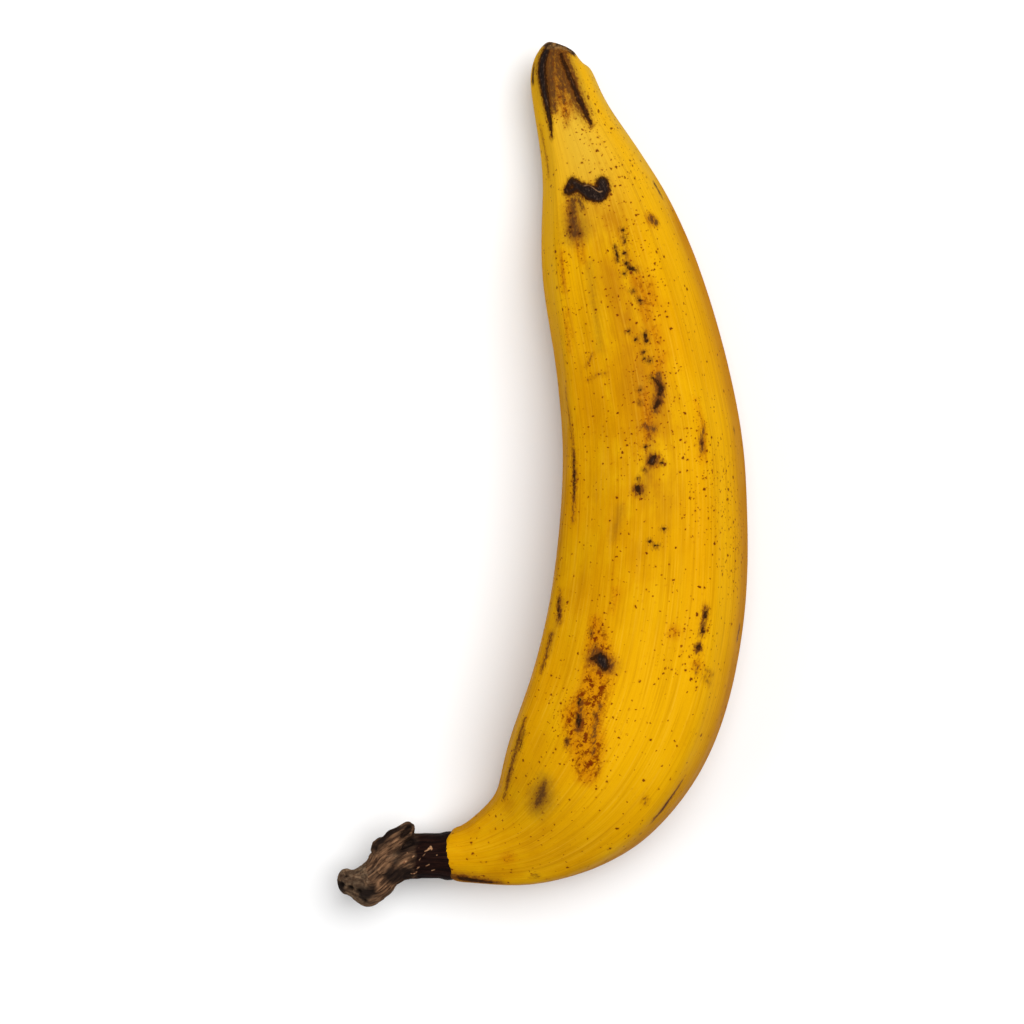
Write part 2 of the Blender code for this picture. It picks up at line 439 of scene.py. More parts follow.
# Rusty patches.
RUST_MARKS = (
    ((193, 133, 0.1), (189, 134, 0.4), (183, 136, 0.2)),
    ((177, 138, 0.2), (171, 139, 0.4), (166, 141, 0.0)),
    ((181, 80, 0.5), (176, 78, 0.7), (170, 80, 0.4)),
    ((151, 92, 0.5), (146, 92, 0.8), (140, 93, 1.2), (137, 95, 0.5)),
    ((147, 60, 0.1), (141, 58, 0.5), (133, 60, 0.5)),
    ((98, 111, 0.3), (92, 112, 0.3)),
    ((179, 72, 0.4), (174, 75, 0.8)),
    ((167, 77, 0.7), (163, 76, 0.4)),
    ((160, 74, 0.5), (156, 82, 0.6)),
    ((196, 52, 1.6),),
    ((89, 74, 1.2),),
    ((82, 57, 1.1),),
    (
        (88, 121, 1.6),
        (83, 117, 3.0),
        (77, 113, 4.2),
        (68, 112, 4.0),
        (60, 114, 5.6),
        (54, 105, 5.0),
        (47, 94, 3.0),
    ),
    ((15, 78, 1.0),),
    ((249, 100, 3.4), (240, 100, 3.4), (231, 96, 2.0)),
    ((205, 123, 1.0), (196, 120, 1.2), (189, 117, 0.2)),
    ((130, 205, 4.0), (120, 207, 3.0)),
    ((165, 275, 4.5), (150, 280, 4.0)),
    ((60, 324, 0.6), (57, 326, 1.6), (53, 323, 1.2), (50, 320, 0.2)),
    ((96, 265, 3.5),),
)
# Smoky bruises. One with a width below 0 is faint all over.
SMOKY_MARKS = (
    ((37, 114.5, 1.2), (33.4, 110.5, 2.6), (30, 108.5, 1.8)),
    ((78, 117, 1.2), (77, 108, 1.0)),
    ((60, 113, -1.4), (55, 108, -1.4)),
    ((249, 122, 3.2), (243, 119, 3.8), (236, 118, 2.4)),
    ((245, 80, 1.6), (237, 76, 1.8), (230, 73, 1.2)),
    ((206, 118.5, 0.8), (201, 121, 1.8), (197.5, 119.5, 2.6)),
    ((188, 112, -1.2), (165, 118, -1.2)),
    ((152, 82, -0.6), (146, 86, -0.8)),
    ((142, 90, -1.2), (124, 98, -1.2)),
    ((92, 148, -0.8), (76, 150, -1.2)),
    ((46, 150, -0.6), (28, 145, -1.0)),
    ((120, 112, -0.8), (112, 116, -1.2)),
    ((10, 40, -0.6), (2, 44, 0.6)),
    ((160, 275, 1.6), (150, 281, 1.0)),
    ((90, 326, 1.4),),
    ((128, 205, 0.8),),
    ((52, 258, 0.6),),
)
# The dried rim round the flower scar.
RIM_MARKS = (
    ((251.6, 175, 1.2), (250.8, 150, 2.3), (250.4, 125, 2.6), (250.6, 100, 2.2), (251.2, 84, 1.2)),
    ((251, 62, 1.0), (249.8, 42, 2.0), (250.2, 10, 2.2), (251, 340, 1.5)),
    ((251.6, 175, 1.2), (251.7, 205, 0.8), (251.5, 240, 1.2)),
    ((251.5, 240, 1.2), (251.7, 285, 0.8), (251.4, 318, 1.1), (251, 340, 1.5)),
)
# Where the freckles crowd.
FRECKLED = (
    ((157, 86, 4), (142, 80, 6)),
    ((135, 62, 5), (122, 45, 9), (110, 28, 9)),
    ((117, 33, 6),),
    ((232, 60, 6), (212, 62, 6)),
    ((86, 60, 6),),
    ((200, 75, 4), (176, 82, 4)),
    ((146, 91, 5), (138, 94, 5)),
    ((194, 133, 2), (167, 140, 2)),
    ((60, 112, 9),),
    ((160, 210, 9), (120, 215, 7)),
    ((80, 260, 10),),
    ((190, 320, 9), (150, 335, 8)),
)
MARK_REACH = 2.0  # how far from its edge a mark is still told apart
SMOKE_REACH = 4.0
FRECKLE_REACH = 6


def inside_marks(marks, reach):
    """How far inside the nearest mark each point of the peel lies, in millimetres, and below 0 outside."""
    inside = np.full(len(peel), -reach)
    for path in marks:
        for (along_0, around_0, wide_0), (along_1, around_1, wide_1) in zip(path, path[1:] or path):
            run_along = along_1 - along_0
            run_around = (around_1 - around_0) * mm_per_degree
            from_along = along - along_0
            from_around = wrapped(around - around_0) * mm_per_degree
            length = np.maximum(run_along**2 + run_around**2, 1e-6)
            share = np.clip((from_along * run_along + from_around * run_around) / length, 0, 1)
            gap = np.hypot(from_along - share * run_along, from_around - share * run_around)
            inside = np.maximum(inside, wide_0 + share * (wide_1 - wide_0) - gap)
    return np.clip(inside, -reach, reach)


def smooth_step(values, low, high):
    """0 below low, 1 above high, and smooth between."""
    t = np.clip((values - low) / (high - low), 0, 1)
    return t * t * (3 - 2 * t)


def facing(angle, spread):
    """1 where the peel faces this angle round the fruit, and less over the spread beside it, in degrees."""
    return np.exp(-0.5 * (wrapped(around - angle) / spread) ** 2)


# The old wound is a raised crust. The dried ridge by the tip has shrunk, and a crease runs beside it.
CREASE = ((249, 123, 0.1), (240, 118, 0.3), (228, 127, 0.1))
CRUST_RISE = 0.75
CRUST_ROUGHNESS = 0.9
CRUST_SCALE = 0.9
SHRUNK = 0.3
wound = smooth_step(inside_marks(WOUND, MARK_REACH), -0.6, 0.8)
shrunk = smooth_step(inside_marks((DRIED_RIDGE,), MARK_REACH), -0.6, 0.8)
crease = smooth_step(inside_marks((CREASE,), MARK_REACH), -0.6, 0.2)
crust = np.array([perlin.noise(Vector(point) * CRUST_SCALE) for point in peel])
relief = (CRUST_RISE + CRUST_ROUGHNESS * crust) * wound - (SHRUNK * shrunk + SHRUNK * crease)
move_points(fruit, peel + outwards * relief[:, None])


def keep(piece, name, values):
    """Keeps a number or a place for each point of the piece, for its material to read."""
    kind, part = ("FLOAT", "value") if values.ndim == 1 else ("FLOAT_VECTOR", "vector")
    piece.data.attributes.new(name, kind, "POINT").data.foreach_set(part, values.ravel())


# What the peel's material reads. First where each point has grown, the same place on an even tube for the
# fibres to follow, and how deep in each kind of mark it lies.
RIB_RADIUS = 24
BROWN_MOST = 0.7
SCAR_START = 0.2  # before the end of the line
turned = np.radians(around)
on_tube = np.stack([along, RIB_RADIUS * np.cos(turned), RIB_RADIUS * np.sin(turned)], axis=1)
keep(fruit, "grown", np.stack([along, across, up], axis=1))
keep(fruit, "ribbed", on_tube)
keep(fruit, "black", inside_marks(BLACK_MARKS_AND_SHADE, MARK_REACH))
keep(fruit, "brown", np.minimum(inside_marks(BROWN_MARKS, MARK_REACH), BROWN_MOST))
keep(fruit, "rust", inside_marks(RUST_MARKS, MARK_REACH))
keep(fruit, "smoky", inside_marks(SMOKY_MARKS, SMOKE_REACH))
keep(fruit, "freckled", smooth_step(inside_marks(FRECKLED, FRECKLE_REACH), -6, 4))
scar_face = np.clip(along - TIP_ALONG + SCAR_START, -MARK_REACH, MARK_REACH)
keep(fruit, "scar", np.maximum(inside_marks(RIM_MARKS, MARK_REACH), scar_face))

# Then how much it has of each ground colour, by the angle that it faces and how far along the fruit it is.
# The inner flank and the underside are dull green and darker: partly the peel's own tint, partly painted
# shade on the sides that face away from the lamps.
inner_flank_shade = facing(198, 30) * (1 - 0.95 * smooth_step(along, 110, 195))
underneath = facing(275, 45)
keep(fruit, "green_and_painted_shade", np.clip(0.8 * inner_flank_shade + 0.3 * underneath, 0, 1))
low_front = facing(85, 48) * (1 - smooth_step(along, 65, 115)) * smooth_step(along, 12, 45)
outer_shoulder = facing(44, 21) * smooth_step(along, 60, 110)
# Painted light: the inner shoulder towards the tip is made brighter lemon to lift the shade that the lamps
# leave on that side.
inner_shoulder_painted_light = facing(148, 24) * smooth_step(along, 140, 195)
keep(fruit, "lemon_and_painted_light", np.clip(0.8 * low_front + 0.85 * outer_shoulder + 0.85 * inner_shoulder_painted_light, 0, 1))
middle_front = smooth_step(along, 112, 128) * (1 - smooth_step(along, 198, 207))
keep(fruit, "tanned", facing(91, 11) * middle_front)
# Painted shade: a darker band along the outer edge of the bend, towards the stalk.
keep(fruit, "outer_painted_shade", facing(-8, 22) * (1 - smooth_step(along, 190, 215)))
keep(fruit, "pale", smooth_step(along, 188, 222))


def new_material(name):
    """A new material, its tree of nodes, and the shader in it."""
    made = bpy.data.materials.new(name)
    made.use_nodes = True
    return made, made.node_tree, made.node_tree.nodes["Principled BSDF"]


def seen(red, green_and_painted_shade, blue):
    """A colour as it is seen, 0 to 255, turned to light."""
    parts = [part / 255 for part in (red, green_and_painted_shade, blue)]
    light = [part / 12.92 if part < 0.04045 else ((part + 0.055) / 1.055) ** 2.4 for part in parts]
    return (*light, 1)


def node(tree, kind, settings, inputs):
    """A shader node with its settings, and its inputs' values or the sockets that feed them."""
    made = tree.nodes.new("ShaderNode" + kind)
    for name, value in settings.items():
        setattr(made, name, value)
    for name, value in inputs.items():
        if isinstance(value, bpy.types.NodeSocket):
            tree.links.new(value, made.inputs[name])
        else:
            made.inputs[name].default_value = value
    return made


def kept(tree, name):
    """A number, or a place in millimetres, that the mesh keeps for each of its points."""
    made = node(tree, "Attribute", {"attribute_name": name}, {})
    return made.outputs["Vector" if name in ("grown", "ribbed") else "Fac"]


def calc(tree, operation, a, b=0.0, c=0.0):
    """A sum on one to three numbers. MULTIPLY_ADD is a times b, plus c."""
    return node(tree, "Math", {"operation": operation}, {0: a, 1: b, 2: c}).outputs[0]


def scaled(tree, vector, lengthways, sideways=1):
    """A place with its distance along the piece scaled by one number, and the other two by another."""
    factors = (lengthways, sideways, sideways)
    return node(tree, "VectorMath", {"operation": "MULTIPLY"}, {0: vector, 1: factors}).outputs[0]


def clouds(tree, vector, scale, detail=2.0, rough=0.5):
    """Soft noise about 0, mostly between -0.3 and 0.3."""
    inputs = {"Vector": vector, "Scale": scale, "Detail": detail, "Roughness": rough}
    return calc(tree, "SUBTRACT", node(tree, "TexNoise", {}, inputs).outputs[0], 0.5)


def ramp(tree, value, low, high, top=1.0, bottom=0.0):
    """The bottom where the value is low, the top where it is high, and smooth between."""
    inputs = {"Value": value, "From Min": low, "From Max": high, "To Min": bottom, "To Max": top}
    return node(tree, "MapRange", {"interpolation_type": "SMOOTHSTEP"}, inputs).outputs[0]


def blend(tree, share, under, over):
    """A share of one colour over another."""
    return node(tree, "Mix", {"data_type": "RGBA"}, {0: share, 6: under, 7: over}).outputs[2]


def layered(tree, colour, layers):
    """The colour with these layers on it, one after another. Each is a share and its own colour."""
    for share, over in layers:
        colour = blend(tree, share, colour, over)
    return colour


def spots(tree, vector, spacing, smallest, largest, share):
    """How far inside the nearest round spot a place is, in millimetres. Only a share of cells has one."""
    absent = 3.0  # what a cell without a spot falls short by
    cells = node(tree, "TexVoronoi", {}, {"Vector": vector, "Scale": 1 / spacing}).outputs
    chance = node(tree, "SeparateColor", {}, {0: cells["Color"]}).outputs
    radius = calc(tree, "MULTIPLY_ADD", chance[1], largest - smallest, smallest)
    there = calc(tree, "LESS_THAN", chance[0], share)
    radius = calc(tree, "MULTIPLY_ADD", there, absent, calc(tree, "SUBTRACT", radius, absent))
    return calc(tree, "MULTIPLY_ADD", cells["Distance"], -spacing, radius)


def finish_surface(tree, shader, colour, dullness, gloss, bump_settings):
    """Feeds the colour, the dullness, the gloss and a bump to the shader."""
    tree.links.new(colour, shader.inputs["Base Color"])
    tree.links.new(dullness, shader.inputs["Roughness"])
    shader.inputs["Specular IOR Level"].default_value = gloss
    tree.links.new(node(tree, "Bump", {}, bump_settings).outputs[0], shader.inputs["Normal"])


# The noises that the peel is painted with. Most are drawn out along the fruit.
skin, tree, shader = new_material("ripe_peel")
place = kept(tree, "grown")
tube_place = kept(tree, "ribbed")
ribs = clouds(tree, scaled(tree, tube_place, 0.02), 0.85, 1)
fine_ribs = clouds(tree, scaled(tree, tube_place, 0.05, 2.3), 1.0, 2)
wide_clouds = clouds(tree, scaled(tree, place, 0.6), 0.06, 2)
warm = clouds(tree, scaled(tree, place, 0.5), 0.04, 3)
stains = clouds(tree, scaled(tree, place, 0.45), 0.17, 4, 0.6)
ragged = clouds(tree, place, 1.1, 4, 0.65)
streaky = clouds(tree, scaled(tree, place, 0.4), 1.9, 4, 0.7)
shake = node(tree, "TexNoise", {}, {"Vector": place, "Scale": 1.6, "Detail": 2.0}).outputs["Color"]
shaken = {0: shake, 1: (0.9, 0.9, 0.9), 2: place}
wobble = node(tree, "VectorMath", {"operation": "MULTIPLY_ADD"}, shaken).outputs[0]
black_depth = kept(tree, "black")
brown_depth = kept(tree, "brown")
rust_depth = kept(tree, "rust")

# The ground: yellow with fibres that run its length, and dull green on the inner flank and underneath,
# partly its own tint and partly painted shade.
rib_share = calc(tree, "MULTIPLY_ADD", ramp(tree, rust_depth, -2, 1), 0.45, 0.22)
rib_share = calc(tree, "MULTIPLY", ramp(tree, ribs, -0.02, 0.28), rib_share)
tanned = calc(tree, "MULTIPLY", kept(tree, "tanned"), ramp(tree, stains, -0.22, 0.16, 0.85))
ground = (
    (ramp(tree, wide_clouds, -0.15, 0.15), seen(207, 151, 3)),
    (ramp(tree, stains, -0.05, 0.25, 0.8), seen(181, 122, 3)),
    (ramp(tree, stains, 0.02, -0.25, 0.6), seen(216, 165, 9)),
    (kept(tree, "pale"), seen(212, 168, 48)),
    # dull green: partly its own tint, partly painted shade
    (kept(tree, "green_and_painted_shade"), seen(162, 108, 3)),
    # brighter lemon low on the front and on the outer shoulder, and painted light on the inner shoulder
    (kept(tree, "lemon_and_painted_light"), seen(225, 167, 6)),
    (ramp(tree, warm, 0.0, 0.2, 0.4), seen(206, 140, 2)),
    (tanned, seen(176, 114, 12)),
    # painted shade darkening the outer edge
    (ramp(tree, kept(tree, "outer_painted_shade"), 0, 1, 0.8), seen(172, 108, 3)),
    (rib_share, seen(160, 96, 3)),
    (ramp(tree, fine_ribs, 0.0, 0.3, 0.3), seen(150, 92, 4)),
    (ramp(tree, fine_ribs, 0.0, -0.3, 0.2), seen(240, 190, 60)),
)
colour = layered(tree, seen(199, 138, 2), ground)

# Rust, and round freckles that crowd near the marks.
rust_edge = calc(tree, "MULTIPLY_ADD", ragged, 3.6, rust_depth)
near_brown = ramp(tree, brown_depth, -1.9, -0.2)
near_marks = calc(tree, "MAXIMUM", near_brown, ramp(tree, black_depth, -1.9, -0.3))
share = calc(tree, "MULTIPLY_ADD", kept(tree, "freckled"), 0.6, 0.2)
share = calc(tree, "MULTIPLY_ADD", near_marks, 0.35, share)
freckles = spots(tree, wobble, 1.6, 0.12, 0.42, share)
in_rust = ramp(tree, rust_depth, -1.5, 0.5)
small_share = calc(tree, "MULTIPLY_ADD", in_rust, 0.5, calc(tree, "MULTIPLY", share, 0.9))
small_freckles = spots(tree, scaled(tree, wobble, 1.02), 0.95, 0.08, 0.28, small_share)
blotches = ramp(tree, clouds(tree, scaled(tree, wobble, 0.7), 0.6, 4, 0.64), 0.0, 0.1)
blotches = calc(tree, "MULTIPLY", blotches, ramp(tree, rust_edge, -0.6, 1.9, 0.95))
worms = calc(tree, "ABSOLUTE", clouds(tree, scaled(tree, wobble, 0.75), 0.6, 1))
worms = ramp(tree, calc(tree, "MULTIPLY_ADD", ragged, -0.25, worms), 0.05, 0.01)
worm_places = ramp(tree, calc(tree, "MAXIMUM", rust_edge, brown_depth), -0.6, 0.9, 0.36)
rusty = (
    (ramp(tree, rust_edge, -2.4, 2.4, 0.6), seen(186, 102, 4)),
    (ramp(tree, small_freckles, -0.1, 0.1, 0.85), seen(124, 50, 4)),
    (ramp(tree, freckles, -0.4, 0.1, 0.3), seen(168, 92, 4)),
    (ramp(tree, freckles, -0.05, 0.1, 0.9), seen(98, 36, 6)),
    (blotches, seen(108, 38, 3)),
    (calc(tree, "MULTIPLY", worms, worm_places), seen(98, 34, 3)),
)
colour = layered(tree, colour, rusty)

# Brown edges and smoky bruises, with black over them. The black is streaked paler along its fibres: brown
# where it is thin, and pale grey where it is thick, a painted sheen on the glossy crust.
brown_edge = calc(tree, "MULTIPLY_ADD", streaky, 3.6, brown_depth)
smoke = calc(tree, "MULTIPLY_ADD", ragged, 3.0, kept(tree, "smoky"))
black_edge = calc(tree, "MULTIPLY_ADD", ragged, 1.6, black_depth)
black_halo = calc(tree, "MULTIPLY_ADD", streaky, 3.4, black_depth)
black = ramp(tree, black_edge, -0.1, 0.3)
thickness = ramp(tree, black_depth, 0.3, 1.1)
deep_black = blend(tree, thickness, seen(46, 24, 8), seen(26, 21, 21))
# brown streaks on thin black; on thick black, pale grey streaks that are a painted sheen
brown_and_sheen_black = blend(tree, thickness, seen(96, 54, 20), seen(88, 70, 58))
dry_black = blend(tree, ramp(tree, streaky, -0.02, 0.28), deep_black, brown_and_sheen_black)
dark = (
    (ramp(tree, brown_edge, -1.3, 1.0, 0.6), seen(150, 84, 8)),
    (ramp(tree, brown_edge, -0.1, 0.9, 0.85), seen(80, 48, 24)),
    (ramp(tree, smoke, -4.0, 3.2, 0.68), seen(82, 52, 26)),
    (ramp(tree, black_halo, -1.0, 0.5, 0.75), seen(104, 56, 14)),
    (calc(tree, "MULTIPLY", black, 0.97), dry_black),
)
colour = layered(tree, colour, dark)

# The thin pale slit in the wound runs across the fruit and steps towards the stalk. The scar at the tip is
# dry, with coarse grains.
SLIT_START = -2.9  # how far right of the middle line
SLIT_STEP = (209.3, 206.4)  # how far along at either end
SLIT_MIDDLE = 1.6
place_parts = node(tree, "SeparateXYZ", {}, {0: place}).outputs
slit_line = ramp(tree, place_parts[1], SLIT_START, 0.0, SLIT_STEP[1], SLIT_STEP[0])
from_slit = calc(tree, "ABSOLUTE", calc(tree, "SUBTRACT", place_parts[0], slit_line))
from_slit = calc(tree, "MULTIPLY_ADD", ragged, 0.5, from_slit)
slit_reach = calc(tree, "ABSOLUTE", calc(tree, "ADD", place_parts[1], SLIT_MIDDLE))
slit = calc(tree, "MULTIPLY", ramp(tree, from_slit, 0.34, 0.1, 0.75), ramp(tree, slit_reach, 2.4, 1.6))
slit = calc(tree, "MULTIPLY", slit, ramp(tree, black_depth, 0.0, 0.6))
scar = ramp(tree, calc(tree, "MULTIPLY_ADD", ragged, 1.6, kept(tree, "scar")), -0.2, 0.5)
scar_grain = calc(tree, "MULTIPLY_ADD", streaky, 0.35, clouds(tree, place, 0.42, 4, 0.6))
dry_scar = blend(tree, ramp(tree, scar_grain, -0.16, 0.2), seen(40, 27, 22), seen(150, 110, 62))
colour = layered(tree, colour, ((slit, seen(142, 106, 72)), (scar, dry_scar)))

# A faint gloss, duller on the scar, and a fine bump: the fibres, and the roughness of what is dry.
PEEL_GLOSS = 0.005
dullness = calc(tree, "MULTIPLY_ADD", stains, 0.3, 0.47)
dullness = calc(tree, "MULTIPLY_ADD", black, -0.08, dullness)
dullness = calc(tree, "MULTIPLY_ADD", scar, 0.25, dullness)
dry = calc(tree, "MULTIPLY", calc(tree, "MAXIMUM", black, scar), streaky)
height = calc(tree, "MULTIPLY_ADD", fine_ribs, 0.5, ribs)
height = calc(tree, "MULTIPLY_ADD", ragged, 0.25, height)
height = calc(tree, "MULTIPLY_ADD", black, 0.3, height)
height = calc(tree, "MULTIPLY_ADD", dry, 2.5, height)
peel_bump = {"Strength": 0.6, "Distance": 0.00015, "Height": height}
finish_surface(tree, shader, colour, dullness, PEEL_GLOSS, peel_bump)
fruit.data.materials.append(skin)

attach(fruit, "root")
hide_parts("fruit")


# ---- The dried stalk ----------------------------------------------------------------------
# The end that hung from the bunch: a round stalk, dried almost black where the fruit closes round it, and a
# scrap of the woody crown that tore away with it. A scale of the crown stands over it with a hollow at its
# tip.
STALK_JOINT = (-24.3, -103.7, 13.7)
STALK_RADIUS = 6.1
STALK_LENGTH = 16
STALK_MIDDLE = (-6.8, -0.25, 0)  # from the joint, as all that follows

# The lumps that the scrap grew as. Middle and half sizes in millimetres, and turn in degrees.
CROWN_LUMPS = (
    ((-13.4, -0.9, 0.0), (5.2, 6.0, 6.2), 20),
    ((-17.4, -2.9, 0.3), (5.6, 5.4, 6.6), -40),
    ((-20.6, -6.6, 0.0), (5.6, 5.2, 6.2), -40),
    ((-22.7, -9.1, -0.4), (5.3, 5.0, 5.6), 10),
    ((-25.4, -7.9, 0.2), (3.6, 4.4, 4.6), 0),
    ((-28.2, -7.2, 0.6), (3.1, 3.5, 3.7), 15),
    ((-28.9, -6.4, 1.6), (1.9, 1.9, 2.2), 0),
    ((-18.6, 2.2, 1.6), (3.2, 3.0, 4.4), 45),
)
SCALE_LUMPS = (
    ((-15.4, 4.9, 2.6), (5.6, 2.5, 3.6), 40),
    ((-12.3, 6.8, 3.4), (2.9, 2.2, 3.2), 50),
)
HOLLOW = ((-12.1, 6.9, 7.0), (2.7, 0.95, 3.4), 46)
GAP = ((-11.6, 3.7, 6.4), (3.4, 1.1, 3.4), 40)
COARSE = 0.5 * MM  # the mesh that the lumps grow together in
FINE = 0.3 * MM  # the mesh that the surface is worked in


def add_lump(middle, half_sizes, turn):
    """A rounded lump at this place from the joint."""
    bpy.ops.mesh.primitive_uv_sphere_add(segments=32, ring_count=16, radius=MM)
    lump = bpy.context.object
    bpy.ops.transform.resize(value=half_sizes)
    bpy.ops.transform.rotate(value=-math.radians(turn), orient_axis="Z", center_override=(0, 0, 0))
    bpy.ops.transform.translate(value=(Vector(STALK_JOINT) + Vector(middle)) * MM)
    bpy.ops.object.transform_apply(location=True, rotation=True, scale=True)
    return lump


bpy.ops.object.select_all(action="DESELECT")
lumps = [add_lump(*lump) for lump in CROWN_LUMPS + SCALE_LUMPS]
bpy.ops.mesh.primitive_cylinder_add(
    vertices=48,
    radius=STALK_RADIUS * MM,
    depth=STALK_LENGTH * MM,
    location=(Vector(STALK_JOINT) + Vector(STALK_MIDDLE)) * MM,
    rotation=(0, math.pi / 2, 0),
)
stalk = bpy.context.object
stalk.name = "plantain_stalk"
bpy.ops.object.transform_apply(location=True, rotation=True, scale=True)
for lump in lumps:
    lump.select_set(True)
bpy.ops.object.join()
apply_modifier(stalk, "REMESH", mode="VOXEL", voxel_size=COARSE)
apply_modifier(stalk, "SMOOTH", iterations=6)
for hole in (HOLLOW, GAP):
    cutter = add_lump(*hole)
    cutter.select_set(False)
    stalk.select_set(True)
    bpy.context.view_layer.objects.active = stalk
    apply_modifier(stalk, "BOOLEAN", operation="DIFFERENCE", object=cutter)
    bpy.data.objects.remove(cutter)
apply_modifier(stalk, "REMESH", mode="VOXEL", voxel_size=FINE)
bpy.ops.object.shade_smooth()

# The line that its fibres follow, seen from above, and where each point of the wood lies on it.
STALK_LINE = (
    (1.5, 0),
    (-5, 0),
    (-10, -0.3),
    (-14, -2.5),
    (-18, -6),
    (-21.5, -8.6),
    (-25.5, -8.4),
    (-32, -7),
)
STALK_POINTS = 300
wood = points_of(stalk)
from_joint = wood - np.array(STALK_JOINT)
stalk_path = np.array(STALK_LINE, float)
stalk_knots = distances(stalk_path)
stalk_places = np.linspace(0, stalk_knots[-1], STALK_POINTS)
stalk_path = through(stalk_knots, stalk_path, stalk_places)
nearest, past, aside = beside(from_joint, stalk_path, headings(stalk_path))
down_stalk = stalk_places[nearest] + past
fibre = np.stack([down_stalk, aside, from_joint[:, 2]], axis=1)

# Small pits, flakes that stand off it, and scorched patches, seen from above; two of the patches are painted
# shadow in the gap under the scale and painted shade in the hollow at its tip. Each is a path of places from
# the joint, with its half width there.
PITS = (
    ((-27.3, -8.5, 0.75),),
    ((-29.9, -7.7, 0.8),),
    ((-25.2, -9.4, 0.6),),
    ((-23.4, -12.2, 0.6),),
    ((-28.7, -4.9, 0.5),),
)
FLAKES = (
    ((-6.2, 2.1, 0.2), (-5.5, 2.5, 0.45), (-5.2, 2.1, 0.25), (-5.5, 2.9, 0.15)),
    ((-7.0, 1.6, 0.2), (-6.4, 1.9, 0.1)),
    ((-8.7, 2.5, 0.15),),
    ((-3.8, 0.7, 0.2),),
    ((-10.4, 0.1, 0.2), (-9.9, 0.5, 0.1)),
    ((-8.6, -0.7, 0.15), (-8.2, -0.3, 0.1)),
    ((-6.8, -2.3, 0.1), (-5.9, -1.9, 0.15)),
    ((-9.2, -3.0, 0.15), (-8.5, -2.5, 0.1)),
    ((-10.8, -4.6, 0.15), (-9.2, -4.0, 0.15)),
    ((-11.8, 1.2, 0.2),),
    ((-7.6, 0.4, 0.1), (-7.0, 0.9, 0.1)),
    ((-5.2, -3.6, 0.1), (-4.4, -3.3, 0.1)),
    ((-12.6, -1.4, 0.3), (-11.8, -0.8, 0.2)),
)
SCORCHES_AND_SHADE = (
    ((-15.5, -4.8, 2.4), (-12.0, -4.6, 1.8)),
    ((-23.5, -10.3, 1.2), (-21.2, -9.0, 0.8)),
    ((-30.5, -8.6, 1.4),),
    # painted shadow in the gap under the scale, and painted shade in the hollow at its tip
    ((-13.4, 1.8, 0.8), (-10.6, 4.2, 1.4)),
    ((-13.6, 5.6, 0.3), (-11.0, 8.4, 0.4)),
    ((-21.0, 2.4, 0.8), (-15.5, 8.0, 0.8)),
)
SCALE_PATH = ((-17.5, 3.6, 2.4), (-11.5, 7.2, 2.4))


def noise_at(points, lengthways, sideways):
    """Noise at each of the points, scaled by one number along the stalk and by another across it."""
    return np.array([perlin.noise(Vector(point)) for point in points * (lengthways, sideways, sideways)])


def inside_patches(patches, reach):
    """How far inside the nearest patch, seen from above, each point of the wood lies, in millimetres."""
    inside = np.full(len(wood), -reach)
    for path in patches:
        for start, end in zip(path, path[1:] or path):
            run = np.array(end[:2]) - start[:2]
            offset = from_joint[:, :2] - start[:2]
            share = np.clip(offset @ run / max(run @ run, 1e-6), 0, 1)
            gap = np.hypot(*(offset - share[:, None] * run).T)
            inside = np.maximum(inside, start[2] + share * (end[2] - start[2]) - gap)
    return np.clip(inside, -reach, reach)


# Its surface: long wrinkles on the round stalk, and torn fibres, knobs and pits on the crown.
torn = 0.5 - np.abs(noise_at(fibre, 0.11, 0.75))
fine_torn = noise_at(fibre, 0.3, 2.2)
knobbly = noise_at(from_joint, 0.32, 0.32)
on_top = from_joint[:, 2] > 0
pits = np.where(on_top, smooth_step(inside_patches(PITS, 2), -0.5, 0.5), 0)
flakes = np.where(on_top, inside_patches(FLAKES, 1), -1)
scale = smooth_step(inside_patches((SCALE_PATH,), 2), -0.5, 1)
crown = smooth_step(down_stalk + 0.35 * from_joint[:, 1], 9, 15)
knob = smooth_step(down_stalk, 24, 28)
roughly = crown * (1 - 0.6 * scale) * (1 - 0.6 * knob)
relief = roughly * (1.1 * torn + 0.22 * fine_torn - 0.35) + 0.4 * crown * (1 - scale) * knobbly
relief -= 0.9 * pits
relief += (1 - crown) * (0.22 * torn + 0.06 * fine_torn) + 0.2 * smooth_step(flakes, -0.2, 0.2)
relief += 0.5 * smooth_step(down_stalk, 5, 2.5)
normals = np.zeros(len(wood) * 3)
stalk.data.vertices.foreach_get("normal", normals)
move_points(stalk, wood + normals.reshape(-1, 3) * relief[:, None])

keep(stalk, "grown", fibre)
keep(stalk, "crown", crown)
keep(stalk, "flakes", flakes)
keep(stalk, "pits", pits)
keep(stalk, "high", smooth_step(torn, 0.2, 0.5))
keep(stalk, "knob", knob)
keep(stalk, "scorch_and_shade", inside_patches(SCORCHES_AND_SHADE, 3))

